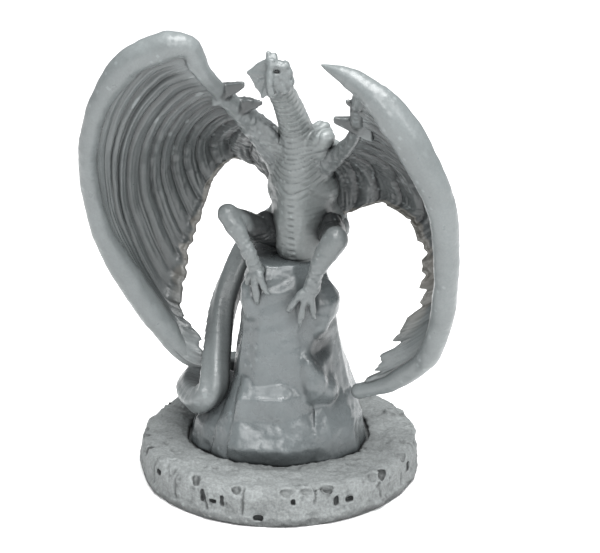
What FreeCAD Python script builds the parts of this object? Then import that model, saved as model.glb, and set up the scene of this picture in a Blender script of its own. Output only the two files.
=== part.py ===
import FreeCAD, Part

import math
import os
import random

# A winged dragon miniature that perches on a facetted rock, plugged into a round stone base.
# Millimetres. The origin is the centre of the base's underside, +Z is up and -Y is the front.
# The dragon is drawn looking along -Y about its own middle plane x = 0, then turned on the rock.
# Its left side is +X. Both wings are drawn on that side, and the right one is mirrored afterwards.

Vec = FreeCAD.Vector

# Base: a stone slab with a worn rim, a shallow seat for the rock's foot and two peg holes.
BASE_RADIUS = 25.0
BASE_HEIGHT = 7.0
BASE_SIDES = 36
BASE_PROFILE = [(0.0, 24.4), (1.6, 24.9), (5.4, 24.8), (BASE_HEIGHT, 24.1)]
EDGE_WEAR = 0.25
SEAT_FLOOR = 6.2
SEAT_GAP = 0.3
PEG_SPOTS = [(-7.0, 1.0), (7.0, -1.0)]
PEG_RADIUS = 1.6
PEG_CLEARANCE = 0.08
PEG_DEPTH = 4.0
PEG_END_GAP = 0.4

# Cracks in the slab's side wall: (bearing, height, width, how tall).
CRACK_DEPTH = 0.8
CRACKS = [(-122, 4.3, 0.5, 1.9), (-117, 3.8, 1.1, 0.5), (-113, 4.2, 0.4, 1.7), (-98, 1.8, 1.6, 0.6),
          (-84, 4.9, 0.7, 0.9), (-66, 4.2, 0.5, 1.5), (-60, 3.9, 1.2, 0.5), (-148, 5.0, 1.0, 0.8),
          (-22, 4.4, 0.6, 1.4), (24, 3.9, 1.3, 0.6), (71, 4.6, 0.5, 1.6), (118, 4.1, 1.4, 0.5)]

# Boulders on the slab: (bearing, distance out, radius, height), each a stack of rings that
# give the level as a share of that height and the reach as a share of that radius.
BOULDERS = [(149, 20.3, 2.6, 1.5), (133, 20.8, 2.2, 2.1), (121, 21.2, 1.7, 1.4),
            (48, 21.2, 2.3, 1.9), (78, 21.6, 1.7, 1.2), (20, 21.4, 1.6, 0.9)]
BOULDER_RINGS = [(-0.5, 1.0), (0.4, 0.95), (1.0, 0.55)]
BOULDER_SIDES = 7
BOULDER_REACH = (0.85, 1.15)

# Rock: rings of corners, each (height, left, right, front, back).
ROCK_FOOT = 6.4
ROCK_RINGS = [(ROCK_FOOT, -16.0, 15.7, -14.6, 15.5), (9.6, -15.5, 15.2, -14.1, 15.0),
              (14.6, -12.3, 14.0, -12.4, 13.4), (20.6, -8.0, 12.4, -10.4, 11.4),
              (27.0, -6.8, 11.2, -9.7, 10.0), (34.0, -6.6, 10.2, -9.3, 9.0),
              (39.0, -5.9, 9.6, -8.6, 8.4), (41.0, -4.6, 8.4, -6.9, 7.4)]
ROCK_SIDES = 14
ROCK_WEAR = 0.035
ROCK_SQUARENESS = 0.72

# Dragon: where it sits on the rock and how far it is turned.
PERCH = Vec(4.0, 0.0, 0.0)
TURN = -20.0

# Trunk and neck, from the belly to the nape: (y, z, half width, half depth).
TRUNK = [(-1.4, 39.6, 2.2, 2.2), (-1.2, 42.0, 3.8, 4.2), (0.0, 47.0, 5.0, 5.6), (1.2, 53.0, 5.9, 6.3),
         (1.2, 58.0, 5.4, 5.6), (0.0, 62.4, 3.7, 4.0), (-2.8, 66.8, 2.7, 3.0), (-6.2, 70.6, 2.3, 2.6),
         (-9.4, 73.8, 2.1, 2.3), (-12.2, 76.4, 2.0, 2.1)]

# Head: the skull from the nape to the snout, then the crest and the corners of the frill.
SKULL = [(-10.8, 76.4, 2.2, 2.2), (-13.2, 77.4, 3.2, 3.0), (-16.0, 77.8, 2.9, 2.8),
         (-19.0, 77.6, 2.0, 2.0), (-21.0, 77.3, 1.3, 1.1)]
CREST = [(Vec(-0.4, -14.0, 79.0), Vec(-0.2, -14.6, 82.2), 1.3),
         (Vec(0.0, -11.8, 78.2), Vec(0.2, -9.0, 80.6), 1.3)]
FRILL = [(Vec(2.2, -12.8, 78.4), Vec(3.4, -11.6, 80.0), 1.3),
         (Vec(2.4, -13.4, 76.6), Vec(4.5, -12.2, 75.8), 1.5),
         (Vec(-2.0, -12.8, 77.6), Vec(-4.6, -12.0, 76.8), 1.6),
         (Vec(-1.4, -13.2, 76.0), Vec(-2.6, -12.8, 73.4), 1.5)]

# Wings: the edges of the membrane. The leading edge runs from the wrist to the tip, the arm from
# the wrist to the shoulder, the flank down the body, the trailing edge from the tip to the body.
SHOULDER = Vec(4.0, -0.4, 59.4)
LEADING = {"left": [Vec(17.0, -20.8, 81.6), Vec(23.2, -22.3, 79.6), Vec(28.7, -22.0, 73.4),
                    Vec(32.8, -20.0, 63.2), Vec(33.7, -17.8, 54.0), Vec(32.7, -14.8, 43.0),
                    Vec(30.6, -12.2, 34.2), Vec(27.2, -10.2, 27.2), Vec(20.6, -8.6, 21.6),
                    Vec(13.8, -8.0, 18.6)],
           "right": [Vec(16.4, -21.6, 85.0), Vec(23.3, -22.3, 81.4), Vec(28.8, -22.0, 73.6),
                     Vec(32.2, -20.2, 64.6), Vec(33.7, -17.4, 55.6), Vec(33.1, -14.8, 45.4),
                     Vec(30.6, -12.6, 37.4), Vec(26.6, -10.4, 29.2), Vec(20.6, -8.6, 21.4),
                     Vec(14.2, -8.0, 19.2)]}
ARM = {"left": [Vec(17.2, -15.6, 74.6), Vec(15.4, -12.0, 69.8), Vec(12.4, -8.0, 65.4),
                Vec(8.6, -4.0, 61.8), SHOULDER],
       "right": [Vec(10.6, -16.0, 76.4), Vec(9.4, -12.0, 72.0), Vec(8.4, -8.0, 68.4),
                 Vec(6.8, -3.4, 63.8), SHOULDER]}
FLANK_FOOT = {"left": Vec(3.6, 3.0, 45.6), "right": Vec(3.6, 3.0, 50.4)}
FLANK_MIDDLE = Vec(4.0, 1.6, 54.6)
TRAILING = {"left": [Vec(16.6, -6.6, 26.4), Vec(20.6, -4.6, 32.8), Vec(21.9, -2.2, 41.0),
                     Vec(20.0, 0.6, 48.2), Vec(13.4, 3.2, 50.6), Vec(7.8, 3.8, 48.2)],
            "right": [Vec(16.8, -6.0, 25.2), Vec(21.2, -3.6, 29.6), Vec(20.6, -1.4, 36.8),
                      Vec(18.8, 1.0, 46.2), Vec(15.8, 3.2, 54.0), Vec(11.0, 3.8, 55.6)]}
MEMBRANE = 1.0
RIB = 1.4
RIB_WIDTH = 0.14
BILLOW = 2.6
ACROSS_STEPS = 12
ALONG_STEPS = 10
NORMAL_STEP = 0.01

# The finger that stiffens the leading edge, set in from it: (share of the way, radius).
FINGER = {"left": [(0.0, 2.4), (0.12, 3.0), (0.25, 2.8), (0.4, 2.3), (0.55, 2.1), (0.7, 2.0), (0.85, 1.8),
                   (1.0, 1.4)],
          "right": [(0.0, 2.4), (0.12, 2.7), (0.25, 2.6), (0.4, 2.4), (0.55, 2.5), (0.7, 2.8),
                    (0.85, 2.5), (1.0, 1.5)]}
FINGER_SET_BACK = {"left": Vec(-0.3, 0.84, -0.35), "right": Vec(0.3, 0.84, -0.35)}
FACE_ON = Vec(0.0, 0.93, -0.37)
WING_MIDDLE = Vec(8.0, 0.0, 52.0)

# The horn at each wrist, (point, radius), and the two thorns along each arm, (foot, tip).
HORN = {"left": [(Vec(18.6, -19.6, 79.0), 2.5), (Vec(14.8, -20.2, 80.4), 1.5),
                 (Vec(10.6, -19.8, 81.5), 0.3)],
        "right": [(Vec(17.6, -20.4, 82.0), 2.7), (Vec(13.6, -20.2, 82.2), 2.5),
                  (Vec(11.2, -18.4, 79.8), 1.9)]}
THORNS = {"left": [(Vec(15.4, -11.6, 69.4), Vec(10.2, -12.6, 70.2)),
                   (Vec(15.8, -14.6, 73.0), Vec(14.0, -16.2, 74.8))],
          "right": [(Vec(9.6, -12.6, 72.8), Vec(5.0, -13.6, 74.8)),
                    (Vec(8.4, -8.6, 69.0), Vec(3.2, -10.0, 70.9))]}
THORN_RADIUS = 1.5
TIP_RADIUS = 0.3

# Legs: hip, knee and ankle, the ball of the foot, and the tips of the three claws.
LEGS = {"left": (Vec(4.0, 4.0, 47.0), Vec(9.6, -9.6, 48.2), Vec(6.8, -11.0, 42.4),
                 Vec(5.0, -9.4, 38.6), [Vec(2.4, -10.4, 34.8), Vec(4.4, -10.0, 32.6), Vec(6.6, -8.6, 33.6)]),
        "right": (Vec(-4.0, 4.0, 47.0), Vec(-9.3, -10.2, 50.6), Vec(-5.4, -11.2, 44.6),
                  Vec(-4.6, -9.9, 40.8),
                  [Vec(-6.6, -9.2, 36.6), Vec(-3.6, -10.8, 35.8), Vec(-1.5, -11.2, 38.2)])}
THIGH_RADII = [3.6, 2.9, 2.1]
THIGH_LIFT = Vec(0.0, 0.0, 0.8)
SHIN_RADII = [2.0, 1.7, 1.3, 1.5]
TOE_RADII = [1.1, 0.8, 0.3]
TOE_ARCH = Vec(0.0, -1.3, 1.4)
JOINT_SWELL = 1.06

# Tail: its middle line and radius, from inside the rump round behind the rock (already turned).
TAIL = [(Vec(5.2, 4.4, 46.5), 3.6), (Vec(2.0, 9.8, 44.4), 3.2), (Vec(-4.8, 11.8, 38.0), 2.8),
        (Vec(-9.6, 6.6, 30.0), 2.5), (Vec(-11.2, -0.6, 22.6), 2.4), (Vec(-13.0, -4.4, 17.2), 2.4),
        (Vec(-15.8, -2.4, 14.6), 2.3), (Vec(-16.6, 4.8, 14.2), 2.2), (Vec(-13.2, 13.0, 13.8), 2.0),
        (Vec(-5.0, 17.4, 13.0), 1.7), (Vec(3.6, 17.8, 12.2), 1.3), (Vec(10.8, 15.8, 11.4), 0.7)]

RING_POINTS = 12
STEEPEST = 0.35
SEWING_GAP = 0.001


def curve_through(points):
    """A function of 0..1 that runs along a smooth curve through the points at even speed."""
    curve = Part.BSplineCurve()
    curve.interpolate(points)
    length = curve.length()
    return lambda t: curve.value(curve.parameterAtDistance(t * length))


def section(centre, along, half_width, half_depth):
    """A closed oval wire square to the direction along, its width as level as it can be."""
    wide = Vec(0, 0, 1).cross(along)
    if wide.Length < STEEPEST * along.Length:
        wide = Vec(1, 0, 0) - along * (along.x / along.Length ** 2)
    wide.normalize()
    deep = along.cross(wide).normalize()
    points = []
    for k in range(RING_POINTS):
        angle = 2 * math.pi * k / RING_POINTS
        points.append(centre + wide * (half_width * math.cos(angle)) + deep * (half_depth * math.sin(angle)))
    oval = Part.BSplineCurve()
    oval.interpolate(points, True)
    return Part.Wire(oval.toShape())


def limb(stations):
    """A solid through oval sections, each (centre, half width, half depth)."""
    centres = [station[0] for station in stations]
    wires = []
    for k, (centre, half_width, half_depth) in enumerate(stations):
        along = centres[min(k + 1, len(centres) - 1)] - centres[max(k - 1, 0)]
        wires.append(section(centre, along, half_width, half_depth))
    return Part.makeLoft(wires, True, False)


def round_limb(stations):
    return limb([(centre, radius, radius) for centre, radius in stations])


def spike(foot, tip, radius):
    along = tip - foot
    return Part.makeCone(radius, TIP_RADIUS, along.Length, foot, along)


def jointed_limb(centres, radii):
    """Cones in a row with a ball at each joint, a little larger than the cones that meet there."""
    pieces = [Part.makeSphere(radius * JOINT_SWELL, centre) for centre, radius in zip(centres, radii)]
    for start, end, start_radius, end_radius in zip(centres, centres[1:], radii, radii[1:]):
        along = end - start
        pieces.append(Part.makeCone(start_radius, end_radius, along.Length, start, along))
    return pieces


def facetted(rings):
    """A solid of flat triangles and two flat ends, through rings of the same number of corners."""
    count = len(rings[0])
    faces = []
    for lower, upper in zip(rings, rings[1:]):
        for k in range(count):
            after = (k + 1) % count
            for corners in ((lower[k], lower[after], upper[k]), (lower[after], upper[after], upper[k])):
                faces.append(Part.Face(Part.makePolygon(list(corners) + [corners[0]])))
    for ring in (rings[0], rings[-1]):
        faces.append(Part.Face(Part.makePolygon(ring + [ring[0]])))
    return Part.Solid(Part.makeShell(faces))


def squarish(part, low, high):
    """One coordinate of an oval with fuller corners, between low and high, from a sine or cosine."""
    eased = math.copysign(abs(part) ** ROCK_SQUARENESS, part)
    return 0.5 * (low + high) + 0.5 * (high - low) * eased


def rock_rings():
    dice = random.Random(11)
    rings = []
    for level, (height, left, right, front, back) in enumerate(ROCK_RINGS):
        ring = []
        for k in range(ROCK_SIDES):
            angle = 2 * math.pi * (k + 0.5 * (level % 2)) / ROCK_SIDES
            wear = 1.0 - ROCK_WEAR * dice.random()
            x = squarish(math.cos(angle), left, right) * wear
            y = squarish(math.sin(angle), front, back) * wear
            ring.append(Vec(x, y, height))
        rings.append(ring)
    return rings


def pegs(radius, foot, top):
    return [Part.makeCylinder(radius, top - foot, Vec(x, y, foot)) for x, y in PEG_SPOTS]


def make_rock():
    body = facetted(rock_rings())
    foot = SEAT_FLOOR - PEG_DEPTH + PEG_END_GAP
    return body.fuse(pegs(PEG_RADIUS, foot, BASE_HEIGHT)).removeSplitter()


def slab():
    dice = random.Random(5)
    rings = []
    for level, (height, radius) in enumerate(BASE_PROFILE):
        ring = []
        for k in range(BASE_SIDES):
            angle = 2 * math.pi * (k + 0.5 * (level % 2)) / BASE_SIDES
            worn = min(radius + EDGE_WEAR * (dice.random() - 0.5), BASE_RADIUS)
            ring.append(Vec(worn * math.cos(angle), worn * math.sin(angle), height))
        rings.append(ring)
    return facetted(rings)


def boulder(bearing, distance, radius, height, seed):
    """A rough stone half sunk in the top of the slab."""
    dice = random.Random(seed)
    angle = math.radians(bearing)
    middle = Vec(distance * math.cos(angle), distance * math.sin(angle), BASE_HEIGHT)
    rings = []
    for rise, share in BOULDER_RINGS:
        ring = []
        for k in range(BOULDER_SIDES):
            angle = 2 * math.pi * k / BOULDER_SIDES
            reach = radius * share * dice.uniform(*BOULDER_REACH)
            ring.append(middle + Vec(reach * math.cos(angle), reach * math.sin(angle), rise * height))
        rings.append(ring)
    return facetted(rings)


def crack(bearing, height, width, tall):
    """A short slot in the slab's side wall, to be cut away."""
    corner = Vec(BASE_RADIUS - CRACK_DEPTH, -0.5 * width, height - 0.5 * tall)
    slot = Part.makeBox(BASE_RADIUS, width, tall, corner)
    slot.rotate(Vec(0, 0, 0), Vec(0, 0, 1), bearing)
    return slot


def make_base():
    stone = slab().fuse([boulder(*spot, seed) for seed, spot in enumerate(BOULDERS)])
    foot = rock_rings()[0]
    outline = Part.makePolygon(foot + [foot[0]])
    seat = Part.Face(outline.makeOffset2D(SEAT_GAP)).extrude(Vec(0, 0, BASE_HEIGHT))
    seat.translate(Vec(0, 0, SEAT_FLOOR - ROCK_FOOT))
    holes = pegs(PEG_RADIUS + PEG_CLEARANCE, SEAT_FLOOR - PEG_DEPTH, BASE_HEIGHT)
    return stone.cut([seat] + holes + [crack(*spot) for spot in CRACKS]).removeSplitter()


def make_trunk():
    return limb([(Vec(0, y, z), half_width, half_depth) for y, z, half_width, half_depth in TRUNK])


def make_head():
    skull = limb([(Vec(0, y, z), half_width, half_depth) for y, z, half_width, half_depth in SKULL])
    return skull.fuse([spike(*point) for point in CREST + FRILL])


def finger_stations(side):
    """The finger's middle line, each (centre, radius), inside the leading edge and behind it."""
    leading = curve_through(LEADING[side])
    stations = []
    for share, radius in FINGER[side]:
        along = leading(min(share + NORMAL_STEP, 1)) - leading(max(share - NORMAL_STEP, 0))
        inward = along.cross(FACE_ON).normalize()
        if inward.dot(WING_MIDDLE - leading(share)) < 0:
            inward = inward * -1
        stations.append((leading(share) + (inward + FINGER_SET_BACK[side]) * radius, radius))
    return stations


def wing_edges(side, stations):
    """The four edges as curves; the leading one runs down the middle of the finger."""
    leading = curve_through([centre for centre, radius in stations])
    flank = [SHOULDER, FLANK_MIDDLE, FLANK_FOOT[side]]
    trailing = [leading(1)] + TRAILING[side] + [FLANK_FOOT[side]]
    return leading, curve_through([leading(0)] + ARM[side]), curve_through(flank), curve_through(trailing)


def wing_middle(edges, across, along):
    """The membrane's middle surface: four edges blended, billowed backwards between them."""
    leading, arm, flank, trailing = edges
    sides = leading(along) * (1 - across) + flank(along) * across
    ends = arm(across) * (1 - along) + trailing(across) * along
    corners = ((leading(0) * (1 - across) + flank(0) * across) * (1 - along)
               + (leading(1) * (1 - across) + flank(1) * across) * along)
    billow = BILLOW * 16 * across * (1 - across) * along * (1 - along)
    return sides + ends - corners + Vec(0, billow, 0)


def wing_normal(edges, across, along):
    low_a, high_a = max(across - NORMAL_STEP, 0), min(across + NORMAL_STEP, 1)
    low_b, high_b = max(along - NORMAL_STEP, 0), min(along + NORMAL_STEP, 1)
    over = wing_middle(edges, high_a, along) - wing_middle(edges, low_a, along)
    down = wing_middle(edges, across, high_b) - wing_middle(edges, across, low_b)
    return down.cross(over).normalize()


def wing_skins(edges):
    """Grids of points on the membrane's back and front, which is thicker along the arm."""
    back, front = [], []
    for i in range(ACROSS_STEPS + 1):
        across = i / ACROSS_STEPS
        back.append([])
        front.append([])
        for j in range(ALONG_STEPS + 1):
            along = j / ALONG_STEPS
            middle = wing_middle(edges, across, along)
            rib = math.exp(-(along / RIB_WIDTH) ** 2)
            half = wing_normal(edges, across, along) * (0.5 * (MEMBRANE + RIB * rib))
            back[-1].append(middle + half)
            front[-1].append(middle - half)
    return back, front


def skin(grid):
    surface = Part.BSplineSurface()
    surface.interpolate(grid)
    return surface.toShape()


def make_wing(side):
    stations = finger_stations(side)
    back, front = [skin(grid) for grid in wing_skins(wing_edges(side, stations))]
    rim = Part.makeLoft([back.OuterWire, front.OuterWire], False, True)
    sewn = Part.makeCompound([back, front] + rim.Faces)
    sewn.sewShape(SEWING_GAP)
    sheet = Part.Solid(sewn.Shells[0])
    bones = [round_limb(stations), round_limb(HORN[side])]
    return sheet.fuse(bones + [spike(foot, tip, THORN_RADIUS) for foot, tip in THORNS[side]])


def make_leg(side):
    hip, knee, ankle, ball, claws = LEGS[side]
    pieces = jointed_limb([hip, (hip + knee) * 0.5 + THIGH_LIFT, knee], THIGH_RADII)
    pieces += jointed_limb([knee, (knee + ankle) * 0.5, ankle, ball], SHIN_RADII)[1:]
    for claw in claws:
        pieces += jointed_limb([ball, (ball + claw + TOE_ARCH) * 0.5, claw], TOE_RADII)[1:]
    return pieces[0].fuse(pieces[1:])


def turned(shape):
    shape.rotate(Vec(0, 0, 0), Vec(0, 0, 1), TURN)
    shape.translate(PERCH)
    return shape


def trimmed(shape, neighbours):
    """The shape less each neighbour it meets, so that the two touch face to face."""
    for neighbour in neighbours:
        shape = shape.cut(neighbour)
    return max(shape.Solids, key=lambda solid: solid.Volume)


def main():
    os.makedirs("parts", exist_ok=True)
    rock = make_rock()
    trunk = trimmed(turned(make_trunk()), [rock])
    tail = trimmed(round_limb(TAIL), [trunk])
    parts = {"base_disc": make_base(), "rock": rock, "trunk": trunk, "tail": tail}
    parts["head"] = trimmed(turned(make_head()), [trunk])
    for side in ("left", "right"):
        leg = trimmed(turned(make_leg(side)), [trunk, rock, tail])
        wing = make_wing(side)
        if side == "right":
            wing = wing.mirror(Vec(0, 0, 0), Vec(1, 0, 0))
        parts[side + "_leg"] = leg
        parts[side + "_wing"] = trimmed(turned(wing), [trunk, tail, leg])
    for name, shape in parts.items():
        shape.exportStep("parts/" + name + ".step")


main()
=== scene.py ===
import itertools
import math

import bpy
import numpy as np
import openvdb
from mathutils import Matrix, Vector


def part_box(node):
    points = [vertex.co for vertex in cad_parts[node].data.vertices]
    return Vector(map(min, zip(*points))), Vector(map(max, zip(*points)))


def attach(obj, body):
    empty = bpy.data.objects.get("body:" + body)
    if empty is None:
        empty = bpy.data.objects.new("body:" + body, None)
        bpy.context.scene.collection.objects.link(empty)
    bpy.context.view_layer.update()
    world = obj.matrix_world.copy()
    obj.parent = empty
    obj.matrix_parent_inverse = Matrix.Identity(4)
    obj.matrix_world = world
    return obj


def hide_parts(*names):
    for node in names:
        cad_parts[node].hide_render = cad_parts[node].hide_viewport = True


# A dragon miniature on a facetted rock and a stone base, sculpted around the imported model.
# Shapes are worked out in millimetres in the row frame, and become metres in add_piece().
# The dragon is drawn looking along -Y about the plane x = 0, then turned on the rock by seated().

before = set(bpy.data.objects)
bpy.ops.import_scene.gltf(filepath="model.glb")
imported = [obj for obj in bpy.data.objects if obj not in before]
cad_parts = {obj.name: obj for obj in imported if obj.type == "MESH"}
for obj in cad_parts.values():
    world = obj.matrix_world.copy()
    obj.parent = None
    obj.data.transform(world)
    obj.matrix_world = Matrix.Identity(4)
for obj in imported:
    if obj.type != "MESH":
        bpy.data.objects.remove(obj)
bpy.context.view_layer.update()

MM = 0.001
FAR = 50.0          # a distance beyond anything in the clay
CURVE_STEPS = 24    # straight steps between two rows of a curve
TURN = math.radians(-20.0)
PERCH = np.array([4.0, 0.0, 0.0])


# ---------------------------------------------------------------- places and curves

def unit(vectors):
    """Vectors of length one."""
    return vectors / np.maximum(np.linalg.norm(vectors, axis=-1, keepdims=True), 1e-9)


def seated(points):
    """Points of the dragon's own frame, turned and moved to its perch in the row frame."""
    cosine, sine = math.cos(TURN), math.sin(TURN)
    turn = np.array([[cosine, -sine, 0], [sine, cosine, 0], [0, 0, 1]])
    return np.asarray(points, float) @ turn.T + PERCH


def curve(rows, count):
    """Rows evenly spaced along a smooth curve through a few rows, of which x, y, z come first."""
    rows = np.array(rows, float)
    padded = np.vstack([2 * rows[0] - rows[1], rows, 2 * rows[-1] - rows[-2]])
    t = np.linspace(0, 1, CURVE_STEPS, endpoint=False)[:, None]
    dense = []
    for a, b, c, d in zip(padded, padded[1:], padded[2:], padded[3:]):
        dense.append(0.5 * (2 * b + (c - a) * t + (2 * a - 5 * b + 4 * c - d) * t ** 2
                            + (3 * b - a - 3 * c + d) * t ** 3))
    dense = np.vstack(dense + [rows[-1:]])
    steps = np.linalg.norm(np.diff(dense[:, :3], axis=0), axis=1)
    length = np.concatenate([[0], np.cumsum(steps)])
    wanted = np.linspace(0, length[-1], count)
    return np.stack([np.interp(wanted, length, column) for column in dense.T], axis=1)


def smoothstep(low, high, value):
    """0 at low, 1 at high, eased between; low may be above high."""
    t = np.clip((value - low) / (high - low), 0, 1)
    return t * t * (3 - 2 * t)


def nearest_along(points, line):
    """For each point: the distance run along the line to its nearest place, and the offset from it."""
    starts, steps = line[:-1], np.diff(line, axis=0)
    lengths = np.linalg.norm(steps, axis=1)
    run = np.concatenate([[0], np.cumsum(lengths)])
    best = np.full(len(points), np.inf)
    along = np.zeros(len(points))
    offset = np.zeros((len(points), 3))
    for k, (start, step) in enumerate(zip(starts, steps)):
        share = np.clip((points - start) @ step / lengths[k] ** 2, 0, 1)
        away = points - start - share[:, None] * step
        distance = np.linalg.norm(away, axis=1)
        closer = distance < best
        best[closer] = distance[closer]
        along[closer] = run[k] + share[closer] * lengths[k]
        offset[closer] = away[closer]
    return along, offset


# ---------------------------------------------------------------- noise

def noise(points, size, seed):
    """Smooth noise in -1..1 with lumps of about the given size, the same on every run."""
    count = 32      # the pattern repeats after this many lumps
    table = np.random.default_rng(seed).uniform(-1, 1, (count, count, count))
    scaled = np.asarray(points, float) / size
    cell = np.floor(scaled).astype(int)
    part = scaled - cell
    part = part * part * (3 - 2 * part)
    total = np.zeros(len(scaled))
    for corner in itertools.product((0, 1), repeat=3):
        weight = np.prod(np.where(corner, part, 1 - part), axis=1)
        index = (cell + corner) % count
        total += weight * table[index[:, 0], index[:, 1], index[:, 2]]
    return total


def rough(points, size, octaves, seed):
    """Noise at several sizes, each half the last."""
    total = np.zeros(len(points))
    for k in range(octaves):
        total += noise(points, size / 2 ** k, seed + k) / 2 ** k
    return total


def cell_distance(points, size, seed):
    """Distance to the nearest of a cloud of scattered points about size apart, over size."""
    count = 16
    table = np.random.default_rng(seed).random((count, count, count, 3))
    scaled = np.asarray(points, float) / size
    cell = np.floor(scaled).astype(int)
    best = np.full(len(scaled), np.inf)
    for shift in itertools.product((-1, 0, 1), repeat=3):
        index = cell + shift
        wrapped = index % count
        spot = index + table[wrapped[:, 0], wrapped[:, 1], wrapped[:, 2]]
        best = np.minimum(best, np.linalg.norm(scaled - spot, axis=1))
    return best


# ---------------------------------------------------------------- clay: shapes as distance fields

def hull_planes(corners):
    """The outward planes (normal, offset) of the smallest convex shape that holds the corners."""
    corners = np.array(corners, float)
    middle = corners.mean(0)
    planes = {}
    for a, b, c in itertools.combinations(corners, 3):
        normal = np.cross(b - a, c - a)
        if np.linalg.norm(normal) < 1e-6:
            continue
        normal = unit(normal)
        if normal @ (middle - a) > 0:
            normal = -normal
        offset = normal @ a
        if (corners @ normal).max() < offset + 1e-4:
            planes[tuple(np.round([*normal, offset], 3))] = (normal, offset)
    return list(planes.values())


class Clay:
    """A lump of clay: signed distances on a fine grid between two corners, negative inside."""

    def __init__(self, low, high, step):
        self.low = np.array(low, float)
        self.step = step
        self.margin = 4 * step
        count = np.ceil((np.array(high) - low) / step).astype(int) + 1
        self.field = np.full(count, FAR, np.float32)

    def window(self, low, high):
        """Slices of the grid between two corners, and the coordinates of the points in them."""
        first = np.clip(np.floor((np.array(low) - self.low) / self.step).astype(int), 0, None)
        last = np.ceil((np.array(high) - self.low) / self.step).astype(int) + 1
        last = np.minimum(last, self.field.shape)
        slices = tuple(slice(a, max(a, b)) for a, b in zip(first, last))
        axes = [(self.low[k] + self.step * np.arange(s.start, s.stop)).astype(np.float32)
                for k, s in enumerate(slices)]
        return slices, np.meshgrid(*axes, indexing="ij", sparse=True)

    def merge(self, slices, distance, blend, cut):
        """Joins a shape to the clay, or cuts it away, with a fillet of about the blend."""
        mine = -self.field[slices] if cut else self.field[slices]
        if blend > 0:
            share = np.clip(0.5 + 0.5 * (mine - distance) / blend, 0, 1)
            both = mine + (distance - mine) * share - blend * share * (1 - share)
        else:
            both = np.minimum(mine, distance)
        self.field[slices] = -both if cut else both

    def tube(self, rows, blend=0.0, cut=False):
        """A round limb through rows of x, y, z and radius."""
        rows = np.array(rows, float)
        whole = np.full(self.field.shape, FAR, np.float32)
        for start, end in zip(rows, rows[1:]):
            reach = max(start[3], end[3]) + blend + self.margin
            low = np.minimum(start[:3], end[:3]) - reach
            high = np.maximum(start[:3], end[:3]) + reach
            slices, (x, y, z) = self.window(low, high)
            along = end[:3] - start[:3]
            x, y, z = x - start[0], y - start[1], z - start[2]
            share = (x * along[0] + y * along[1] + z * along[2]) / max(along @ along, 1e-9)
            share = np.clip(share, 0, 1)
            away = np.sqrt((x - share * along[0]) ** 2 + (y - share * along[1]) ** 2
                           + (z - share * along[2]) ** 2)
            distance = away - (start[3] + share * (end[3] - start[3]))
            whole[slices] = np.minimum(whole[slices], distance)
        reach = rows[:, 3].max() + blend + self.margin
        slices, _ = self.window(rows[:, :3].min(0) - reach, rows[:, :3].max(0) + reach)
        self.merge(slices, whole[slices], blend, cut)

    def ball(self, centre, radii, blend=0.0, cut=False):
        """An egg with three radii along X, Y and Z."""
        centre, radii = np.array(centre, float), np.array(radii, float)
        reach = radii + blend + self.margin
        slices, (x, y, z) = self.window(centre - reach, centre + reach)
        x, y, z = x - centre[0], y - centre[1], z - centre[2]
        first = np.sqrt((x / radii[0]) ** 2 + (y / radii[1]) ** 2 + (z / radii[2]) ** 2)
        second = np.sqrt((x / radii[0] ** 2) ** 2 + (y / radii[1] ** 2) ** 2 + (z / radii[2] ** 2) ** 2)
        self.merge(slices, first * (first - 1) / np.maximum(second, 1e-6), blend, cut)

    def chunk(self, corners, soften=0.0, blend=0.0, cut=False):
        """The convex shape round some corners, its edges softened."""
        corners = np.array(corners, float)
        reach = blend + soften + self.margin
        slices, (x, y, z) = self.window(corners.min(0) - reach, corners.max(0) + reach)
        distance = None
        for normal, offset in hull_planes(corners):
            plane = (x * normal[0] + y * normal[1] + z * normal[2] - offset).astype(np.float32)
            if distance is None:
                distance = plane
            elif soften > 0:
                h = np.clip(0.5 + 0.5 * (plane - distance) / soften, 0, 1)
                distance = distance + (plane - distance) * h + soften * h * (1 - h)
            else:
                distance = np.maximum(distance, plane)
        self.merge(slices, distance, blend, cut)

    def below(self, height):
        """Cuts away everything under a height."""
        z = self.low[2] + self.step * np.arange(self.field.shape[2])
        self.field = np.maximum(self.field, (height - z)[None, None, :].astype(np.float32))

    def surface(self):
        """The clay's skin as points and quads."""
        grid = openvdb.FloatGrid(FAR)
        grid.copyFromArray(np.clip(self.field, -FAR, FAR))
        points, quads = grid.convertToQuads(0.0)
        return points.astype(float) * self.step + self.low, quads.astype(int)


# ---------------------------------------------------------------- skins

def vertex_normals(points, quads):
    """The skin's outward direction at each point."""
    corners = points[quads]
    flat = np.cross(corners[:, 2] - corners[:, 0], corners[:, 3] - corners[:, 1])
    total = np.zeros_like(points)
    for k in range(4):
        for axis in range(3):
            total[:, axis] += np.bincount(quads[:, k], flat[:, axis], len(points))
    return unit(total)


def relaxed(points, quads, times, amount=0.5):
    """Points moved towards their neighbours' mean."""
    pairs = np.vstack([quads[:, [0, 1]], quads[:, [1, 2]], quads[:, [2, 3]], quads[:, [3, 0]]])
    pairs = np.vstack([pairs, pairs[:, ::-1]])
    count = np.maximum(np.bincount(pairs[:, 0], minlength=len(points)), 1)
    for _ in range(times):
        mean = np.stack([np.bincount(pairs[:, 0], points[pairs[:, 1], axis], len(points))
                         for axis in range(3)], axis=1) / count[:, None]
        points = points + amount * (mean - points)
    return points


def grid_quads(rows, columns, closed=False, flip=False, first=0):
    """Quads of a grid of points in row order; closed joins the last column to the first."""
    i = np.arange(rows - 1)[:, None]
    j = np.arange(columns if closed else columns - 1)[None, :]
    after = (j + 1) % columns
    quads = np.stack([i * columns + j, i * columns + after, (i + 1) * columns + after,
                      (i + 1) * columns + j], axis=-1).reshape(-1, 4)
    return (quads[:, ::-1] if flip else quads) + first


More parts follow.
